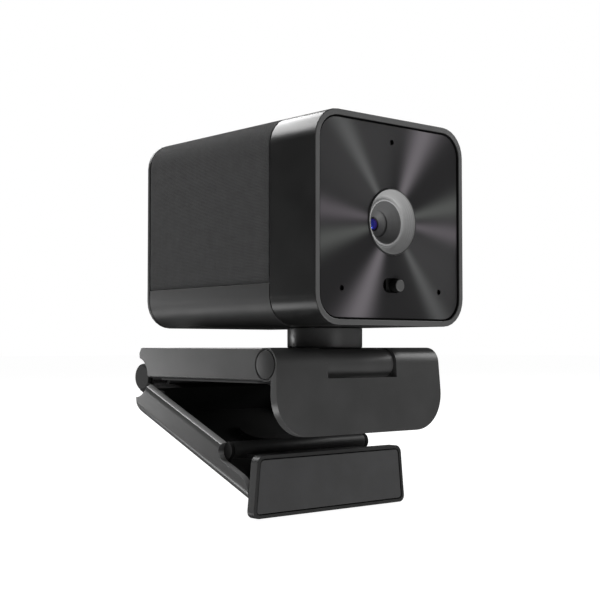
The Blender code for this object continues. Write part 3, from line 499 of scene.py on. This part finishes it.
def smooth(mesh, sharp):
    """Shades a mesh smooth but for its edges of at least `sharp` degrees."""
    mesh.shade_smooth()
    mesh.set_sharp_from_angle(angle=math.radians(sharp))


def finish_piece(node, mesh, sharp, material=None):
    """Puts a finer mesh in the place of a CAD node, on the same body."""
    piece = bpy.data.objects.new(node + "_fine", mesh)
    bpy.context.scene.collection.objects.link(piece)
    mesh.materials.clear()
    mesh.materials.append(material or FINISH[SLOT[node]])
    smooth(mesh, sharp)
    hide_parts(node)
    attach(piece, BODY[node])
    return piece


def bake(piece):
    """Makes the modifiers' result the piece's own mesh."""
    bpy.context.view_layer.update()
    graph = bpy.context.evaluated_depsgraph_get()
    mesh = bpy.data.meshes.new_from_object(piece.evaluated_get(graph))
    piece.modifiers.clear()
    piece.data = mesh


RIM_LENGTH = 20  # mm that an edge of the rim has at least


def outer_rim(edge):
    """Whether an edge is a long one, where an outer side meets a top face."""
    if len(edge.link_faces) != 2 or edge.calc_length() < RIM_LENGTH * MM:
        return False
    side, top = sorted(edge.link_faces, key=lambda face: abs(face.normal.z))
    outward = side.normal.x * edge.verts[0].co.x > 0
    return (
        outward
        and abs(side.normal.x) > 0.8
        and top.normal.z > 0.75
        and abs(top.normal.x) < 0.3
    )


MERGE = 2e-6  # metres
FLAT = math.radians(1.0)  # between facets of one flat face
EDGE_ANGLE = math.radians(38.0)  # from which an edge is rounded over
CREASE = 50.0  # degrees from which an edge stays sharp in the shading


def softened(node, width, segments):
    """The node's own shape with its edges rounded over and its curved faces shaded smooth."""
    work = bmesh.new()
    work.from_mesh(NODES[node].data)
    bmesh.ops.remove_doubles(work, verts=work.verts, dist=MERGE)
    bmesh.ops.dissolve_limit(work, angle_limit=FLAT, verts=work.verts, edges=work.edges)
    work.normal_update()
    if node == "lower_arm":
        rim = [edge for edge in work.edges if outer_rim(edge)]
        bmesh.ops.bevel(
            work, geom=rim, offset=RIM_CHAMFER * MM, segments=1, affect="EDGES"
        )
    mesh = make_mesh(node + "_fine", work)
    piece = finish_piece(node, mesh, CREASE, SPECIAL.get(node))
    bevel = piece.modifiers.new("edges", "BEVEL")
    bevel.width = width * MM
    bevel.segments = segments
    bevel.limit_method = "ANGLE"
    bevel.angle_limit = EDGE_ANGLE
    bake(piece)
    smooth(piece.data, CREASE)
    weighted = piece.modifiers.new("normals", "WEIGHTED_NORMAL")
    weighted.keep_sharp = True
    weighted.weight = 80
    bake(piece)


TINY = 1e-6  # mm

# From a shape turned about z to one turned about another axis.
TURN = {
    "X": Matrix.Rotation(math.pi / 2, 4, "Y"),
    "Y": Matrix.Rotation(-math.pi / 2, 4, "X"),
    "Z": Matrix.Identity(4),
}


def lathe(profile, axis, centre, steps):
    """A closed profile of (radius, along) points turned round an axis through centre, in mm."""
    work = bmesh.new()
    rings = []
    for radius, along in profile:
        if radius < TINY:
            rings.append([work.verts.new((0.0, 0.0, along * MM))])
            continue
        ring = []
        for i in range(steps):
            angle = 2 * math.pi * i / steps
            x, y = radius * MM * math.cos(angle), radius * MM * math.sin(angle)
            ring.append(work.verts.new((x, y, along * MM)))
        rings.append(ring)
    both_ends_on_axis = profile[0][0] < TINY and profile[-1][0] < TINY
    for k in range(len(rings) - (1 if both_ends_on_axis else 0)):
        a, b = rings[k], rings[(k + 1) % len(rings)]
        for i in range(steps):
            j = (i + 1) % steps
            corners = [a[i % len(a)], a[j % len(a)], b[j % len(b)], b[i % len(b)]]
            corners = [v for n, v in enumerate(corners) if v not in corners[:n]]
            if len(corners) > 2:
                work.faces.new(corners)
    bmesh.ops.recalc_face_normals(work, faces=work.faces)
    place = Matrix.Translation(Vector(centre) * MM) @ TURN[axis]
    bmesh.ops.transform(work, matrix=place, verts=work.verts)
    return make_mesh("turned", work)


ALMOST_STRAIGHT = math.radians(14)
ROUND_STEPS = 3


def rounded(profile, radius):
    """The profile with each corner that has room for it rounded over."""
    out = []
    count = len(profile)
    for i, here in enumerate(profile):
        here = Vector(here)
        before = Vector(profile[i - 1]) - here
        after = Vector(profile[(i + 1) % count]) - here
        on_axis = here.x < TINY
        no_corner = (
            before.length < TINY
            or after.length < TINY
            or abs(before.angle(after) - math.pi) < ALMOST_STRAIGHT
        )
        if on_axis or no_corner:
            out.append(tuple(here))
            continue
        reach = min(radius, before.length * 0.45, after.length * 0.45)
        start = here + before.normalized() * reach
        end = here + after.normalized() * reach
        for k in range(ROUND_STEPS + 1):
            f = k / ROUND_STEPS
            out.append(tuple(start * (1 - f) ** 2 + here * 2 * f * (1 - f) + end * f * f))
    return out


# ---------------------------------------------------------------- the cloth over the head

# In mm.
CLOTH_THICKNESS = 0.8
CLOTH_ROLL = 0.32  # radius that the cloth's edges are turned under with
THREAD_PITCH = 0.42

# Into how many steps the mesh divides each stretch round the shell, and its depth.
SIDE_STEPS, CORNER_STEPS, TOP_STEPS = 40, 14, 44
DEPTH_STEPS, ROLL_STEPS = 60, 4


def cloth_path(left, right, bottom, top):
    """Round the shell from one lower edge to the other: (x, z, outward x, outward z, gone)."""
    path = []

    def push(x, z, nx, nz):
        gone = path[-1][4] + math.hypot(x - path[-1][0], z - path[-1][1]) if path else 0.0
        path.append((x, z, nx, nz, gone))

    def push_corner(x, start):
        for i in range(CORNER_STEPS):
            a = start - math.pi / 2 * i / CORNER_STEPS
            nx, nz = math.cos(a), math.sin(a)
            push(x + EDGE_RADIUS * nx, shoulder + EDGE_RADIUS * nz, nx, nz)

    shoulder = top - EDGE_RADIUS
    for i in range(SIDE_STEPS):
        push(left, bottom + (shoulder - bottom) * i / SIDE_STEPS, -1.0, 0.0)
    push_corner(left + EDGE_RADIUS, math.pi)
    flat = right - left - 2 * EDGE_RADIUS
    for i in range(TOP_STEPS):
        push(left + EDGE_RADIUS + flat * i / TOP_STEPS, top, 0.0, 1.0)
    push_corner(right - EDGE_RADIUS, math.pi / 2)
    for i in range(SIDE_STEPS + 1):
        push(right, shoulder - (shoulder - bottom) * i / SIDE_STEPS, 1.0, 0.0)
    return path


def cloth_depths(front, back):
    """From front to back: (y, how far the face has dropped there)."""

    def turned_under(f):
        a = math.pi / 2 * f
        return CLOTH_ROLL * (1 - math.cos(a)), CLOTH_ROLL * (1 - math.sin(a))

    depths = []
    for i in range(ROLL_STEPS + 1):
        inward, drop = turned_under(i / ROLL_STEPS)
        depths.append((front + inward, drop))
    for i in range(1, DEPTH_STEPS):
        flat = back - front - 2 * CLOTH_ROLL
        depths.append((front + CLOTH_ROLL + flat * i / DEPTH_STEPS, 0.0))
    for i in range(ROLL_STEPS + 1):
        inward, drop = turned_under(1 - i / ROLL_STEPS)
        depths.append((back - inward, drop))
    return depths


def dropped_at(edge):
    """How far the face has dropped at a distance from the cloth's lower edge."""
    if edge >= CLOTH_ROLL:
        return 0.0
    return CLOTH_ROLL * (1 - math.sqrt(max(0.0, 1 - (1 - edge / CLOTH_ROLL) ** 2)))


def fabric_cover():
    """One sheet of cloth stretched over the shell, turned under a little at its edges."""
    low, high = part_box("fabric_cover")
    front, back = low.y / MM, high.y / MM
    path = cloth_path(low.x / MM, high.x / MM, low.z / MM, high.z / MM)
    depths = cloth_depths(front, back)
    length = path[-1][4]
    work = bmesh.new()
    threads = work.loops.layers.uv.new("threads")
    where = {}

    def point(x, y, z, uv):
        vert = work.verts.new((x * MM, y * MM, z * MM))
        where[vert] = uv
        return vert

    def quad(*corners):
        face = work.faces.new(corners)
        for loop in face.loops:
            loop[threads].uv = where[loop.vert]

    outer, inner = [], []
    for x, z, nx, nz, gone in path:
        lower = dropped_at(min(gone, length - gone))
        outer.append([])
        inner.append([])
        for y, drop in depths:
            sink = max(drop, lower)
            uv = (gone / THREAD_PITCH, (y - front) / THREAD_PITCH)
            outer[-1].append(point(x - nx * sink, y, z - nz * sink, uv))
            inner[-1].append(
                point(x - nx * CLOTH_THICKNESS, y, z - nz * CLOTH_THICKNESS, uv)
            )
    rows, columns = len(path), len(depths)
    for i in range(rows - 1):
        for j in range(columns - 1):
            quad(outer[i][j], outer[i][j + 1], outer[i + 1][j + 1], outer[i + 1][j])
            quad(inner[i][j], inner[i + 1][j], inner[i + 1][j + 1], inner[i][j + 1])
        quad(outer[i][0], outer[i + 1][0], inner[i + 1][0], inner[i][0])
        quad(outer[i][-1], inner[i][-1], inner[i + 1][-1], outer[i + 1][-1])
    for j in range(columns - 1):
        quad(outer[0][j], inner[0][j], inner[0][j + 1], outer[0][j + 1])
        quad(outer[-1][j], outer[-1][j + 1], inner[-1][j + 1], inner[-1][j])
    bmesh.ops.recalc_face_normals(work, faces=work.faces)
    piece = finish_piece("fabric_cover", make_mesh("fabric_cover_fine", work), sharp=55.0)


fabric_cover()


# ---------------------------------------------------------------- the lens and what is round it

# Profiles as (radius, depth behind the hood's rim), in mm.
BOWL = [
    (9.34, 0.15), (9.22, 0.55), (9.1, 1.0), (8.97, 1.45), (8.8, 1.9),
    (8.62, 2.35), (8.4, 2.8), (8.15, 3.2), (7.87, 3.6),
]
RAISED_RING = [
    (7.55, 3.66), (6.95, 3.66), (6.8, 3.5), (6.76, 3.1),
    (6.66, 3.0), (6.36, 3.0), (6.24, 3.1), (6.24, 4.7),
]
FLANGE = [(9.66, 4.7), (9.66, 2.65), (11.2, 2.65), (11.2, 1.75), (9.66, 1.75)]
FUNNEL = [(9.66, 0.35), (9.51, 0.15)] + BOWL + RAISED_RING + FLANGE
DISH = [
    (6.2, 3.06), (6.08, 3.08), (5.88, 3.5), (5.6, 4.1), (5.22, 4.75), (4.78, 5.4),
    (4.3, 5.98), (3.92, 6.38), (4.1, 6.42), (6.5, 6.42), (6.5, 4.8), (6.2, 4.74),
]
BARREL = [
    (1.8, 8.35), (2.05, 8.24), (2.5, 7.92), (3.0, 7.57), (3.55, 7.22), (4.1, 6.99),
    (4.6, 6.99), (4.6, 8.2), (5.0, 8.2), (5.0, 16.0), (3.4, 16.0), (3.4, 10.4), (1.8, 10.4),
]
GLASS_RADIUS, GLASS_FRONT, GLASS_BACK = 1.72, 7.85, 9.8
DOME_RISE, DOME_STEPS = 0.65, 12


def glass_profile():
    """A domed front on a plain cylinder."""
    profile = [(0.0, GLASS_FRONT)]
    for i in range(1, DOME_STEPS + 1):
        a = math.pi / 2 * i / DOME_STEPS
        depth = GLASS_FRONT + DOME_RISE * (1 - math.cos(a))
        profile.append((GLASS_RADIUS * math.sin(a), depth))
    return profile + [(GLASS_RADIUS, GLASS_BACK), (0.0, GLASS_BACK)]


for node, profile, steps, sharp, material in (
    ("lens_funnel", rounded(FUNNEL, 0.12), 128, 40.0, None),
    ("lens_cone", DISH, 112, 45.0, None),
    ("lens_barrel", BARREL, 96, 40.0, FINISH["dish_plastic"]),
    ("front_lens", glass_profile(), 72, 50.0, None),
):
    turned = lathe(profile, "Y", (0.0, RIM_FACE, LENS.z), steps)
    finish_piece(node, turned, sharp, material)


# ---------------------------------------------------------------- the rigid pieces

# How far each one's edges are rounded over, in mm, and in how many steps.
for node, width, segments in (
    ("front_hood", 0.10, 2),
    ("lower_shell", 0.12, 2),
    ("rear_cover", 0.10, 2),
    ("shutter_knob", 0.08, 2),
    ("upper_arm", 0.15, 2),
    ("arm_base", 0.12, 2),
    ("arm_pad", 0.15, 2),
    ("front_plate", 0.12, 2),
    ("lip_pad", 0.2, 2),
    ("lower_arm", 0.28, 3),
    ("foot_plate", 0.12, 2),
    ("foot_pad", 0.18, 2),
):
    softened(node, width, segments)


def neck():
    """A plain round sleeve, its edges rounded over."""
    low, high = (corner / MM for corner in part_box("swivel_neck"))
    profile = [(NECK_BORE, low.z), (high.x, low.z), (high.x, high.z), (NECK_BORE, high.z)]
    turned = lathe(rounded(profile, 0.3), "Z", (0, 0, 0), 128)
    finish_piece("swivel_neck", turned, sharp=40.0)


GROOVE_DEPTH = 0.4  # mm
RIM_STEP = 0.06  # mm that the cap's rim lies behind its face


def hinge_cap(side):
    """A disc with a fine groove near its edge."""
    low, high = (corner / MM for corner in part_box("hinge_cap_" + side))
    radius, hinge = (high.z - low.z) / 2, (low + high) / 2
    inner, outer = (high.x, low.x) if side == "left" else (low.x, high.x)
    inward = (inner - outer) / abs(inner - outer)
    groove, step = outer + GROOVE_DEPTH * inward, outer + RIM_STEP * inward
    profile = [(0.0, outer), (radius - 0.42, outer), (radius - 0.34, groove)]
    profile += [(radius - 0.2, groove), (radius - 0.12, step)]
    profile += [(radius, step), (radius, inner), (0.0, inner)]
    turned = lathe(rounded(profile, 0.1), "X", (0, hinge.y, hinge.z), 80)
    finish_piece("hinge_cap_" + side, turned, sharp=40.0, material=FOOT)


neck()
hinge_cap("left")
hinge_cap("right")


# ---------------------------------------------------------------- camera, floor and light


def take_view():
    """The camera, as solved from the head's parallel edges."""
    data = bpy.data.cameras.new("camera")
    data.sensor_width = 36.0
    data.lens = 69.515
    data.shift_x = -0.000833
    data.shift_y = 0.000833
    data.clip_start = 0.01
    camera = bpy.data.objects.new("camera", data)
    camera.location = (-0.23765, -0.26102, 0.0102)
    camera.rotation_euler = (math.radians(92.329), 0.0, math.radians(-41.118))
    bpy.context.scene.collection.objects.link(camera)
    bpy.context.scene.camera = camera


FLOOR_HALF = 6.0  # metres
FLOOR_GAP = 0.0005  # metres below the lowest point


def floor():
    """A white ground just below the clip, which hides no light from under it."""
    mesh = bpy.data.meshes.new("floor")
    ends = ((-1, -1), (1, -1), (1, 1), (-1, 1))
    corners = [(x * FLOOR_HALF, y * FLOOR_HALF, 0) for x, y in ends]
    mesh.from_pydata(corners, [], [(0, 1, 2, 3)])
    plane = bpy.data.objects.new("floor", mesh)
    plane.location = (0.0, 0.0, CAD_BOX[0][2] - FLOOR_GAP)
    bpy.context.scene.collection.objects.link(plane)
    t = Tree("floor_paint")
    t.set(
        Base_Color=t.blend(t.noise(3.0), grey(0.20), grey(0.22)),
        Roughness=0.9,
        Specular_IOR_Level=0.2,
        Emission_Color=grey(1.0),
        Emission_Strength=0.97,
    )
    mesh.materials.append(t.material)
    plane.visible_glossy = False
    plane.visible_shadow = False


MIDDLE = Vector((0.0, 0.010, 0.030))  # that every light points at


def lamp(name, direction, distance, size, power):
    """A soft rectangular light in some direction from the middle."""
    data = bpy.data.lights.new(name, "AREA")
    data.shape = "RECTANGLE"
    data.size, data.size_y = size
    data.energy = power
    obj = bpy.data.objects.new(name, data)
    obj.location = MIDDLE + Vector(direction).normalized() * distance
    obj.rotation_euler = (MIDDLE - obj.location).to_track_quat("-Z", "Y").to_euler()
    bpy.context.scene.collection.objects.link(obj)


def surroundings(ambient):
    """White all round for the camera, and a dim even light for everything else."""
    world = bpy.data.worlds.new("studio")
    bpy.context.scene.world = world
    world.use_nodes = True
    background = world.node_tree.nodes["Background"]
    background.inputs["Color"].default_value = grey(1.0)
    seen = world.node_tree.nodes.new("ShaderNodeLightPath")
    level = world.node_tree.nodes.new("ShaderNodeMapRange")
    level.inputs["To Min"].default_value = ambient
    level.inputs["To Max"].default_value = 1.0
    world.node_tree.links.new(seen.outputs["Is Camera Ray"], level.inputs["Value"])
    world.node_tree.links.new(level.outputs[0], background.inputs["Strength"])


take_view()
floor()
for name, direction, distance, size, power in (
    ("front_light", (-0.10, -0.97, -0.10), 0.95, (0.50, 0.40), 0.4),
    ("under_light", (0.08, -0.76, -0.64), 0.95, (0.55, 0.45), 4.0),
    ("right_light", (0.85, -0.30, 0.45), 0.90, (0.45, 0.50), 2.6),
    ("top_light", (0.00, -0.28, 0.95), 0.85, (0.25, 0.20), 0.25),
    ("left_light", (-0.75, -0.45, 0.45), 1.00, (0.20, 0.20), 0.1),
    ("edge_light", (-0.23, 0.44, 0.87), 0.95, (0.30, 0.24), 4.5),
    ("back_left_light", (-0.37, 0.93, -0.06), 0.90, (0.24, 0.10), 1.0),
    ("low_left_light", (-0.43, 0.78, -0.42), 0.90, (0.36, 0.20), 1.15),
    ("back_light", (-0.05, 0.76, 0.60), 1.00, (1.00, 0.25), 8.0),
):
    lamp(name, direction, distance, size, power)
surroundings(ambient=0.07)
bpy.context.scene.view_settings.view_transform = "Standard"
